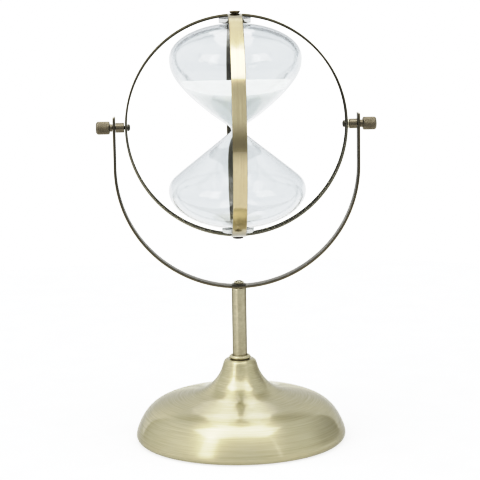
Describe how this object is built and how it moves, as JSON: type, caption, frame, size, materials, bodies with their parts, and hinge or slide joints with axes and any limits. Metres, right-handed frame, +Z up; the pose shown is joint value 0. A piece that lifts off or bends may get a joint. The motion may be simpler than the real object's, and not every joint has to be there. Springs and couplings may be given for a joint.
{
  "type": "rotating hourglass",
  "caption": "Sand timer glass held in crossed metal strip rings that turn end over end between the arms of a U-shaped yoke on a stem and a weighted dome base.",
  "frame": {"origin": "centre of the felt underside of the base, where the object stands", "axes": "+Z up along the stem, X along the turning axis of the rings from thumb nut to thumb nut, -Y towards the viewer of the picture"},
  "size_m": [0.2002, 0.1592, 0.3111],
  "materials": {
    "pale_brass": "pale antique brass, brushed in circles around the axis, satin gloss",
    "strip_brass": "pale antique brass strip, fine brushing along the strip, satin",
    "bronze": "dark antique bronze, turned and knurled",
    "dark_steel": "blackened steel, satin",
    "zinc_steel": "zinc plated steel, satin",
    "cast_iron": "rough black-painted casting",
    "felt": "dark pressed felt",
    "blown_glass": "clear blown glass, polished",
    "clear_plastic": "clear acrylic, polished faces and turned rim",
    "white_sand": "fine white sand, matt"
  },
  "bodies": {
    "stand": {"base_dome": "pale_brass", "base_weight": "cast_iron", "base_felt": "felt", "base_bolt": "zinc_steel", "base_washer": "zinc_steel", "stem_collar": "pale_brass", "stem": "pale_brass", "yoke": "strip_brass", "yoke_washer": "dark_steel", "yoke_screw": "strip_brass", "left_spacer": "bronze", "left_pivot_screw": "dark_steel", "right_spacer": "bronze", "right_washer": "strip_brass", "right_pivot_screw": "dark_steel"},
    "gimbal": {"meridian_ring": "strip_brass", "cross_ring": "strip_brass", "top_screw": "bronze", "bottom_screw": "bronze", "glass_bulbs": "blown_glass", "top_disc": "clear_plastic", "bottom_disc": "clear_plastic", "sand": "white_sand"},
    "left_nut": {"left_thumb_nut": "bronze"},
    "right_nut": {"right_thumb_nut": "bronze"}
  },
  "joints": [
    {"name": "gimbal_turn", "type": "hinge", "parent": "stand", "child": "gimbal", "pos_m": [0, 0, 0.2297], "axis": [1, 0, 0], "continuous": true},
    {"name": "left_nut_turn", "type": "hinge", "parent": "stand", "child": "left_nut", "pos_m": [-0.095, 0, 0.2297], "axis": [-1, 0, 0], "range_deg": [0, 360]},
    {"name": "right_nut_turn", "type": "hinge", "parent": "stand", "child": "right_nut", "pos_m": [0.095, 0, 0.2297], "axis": [1, 0, 0], "range_deg": [0, 360]}
  ]
}
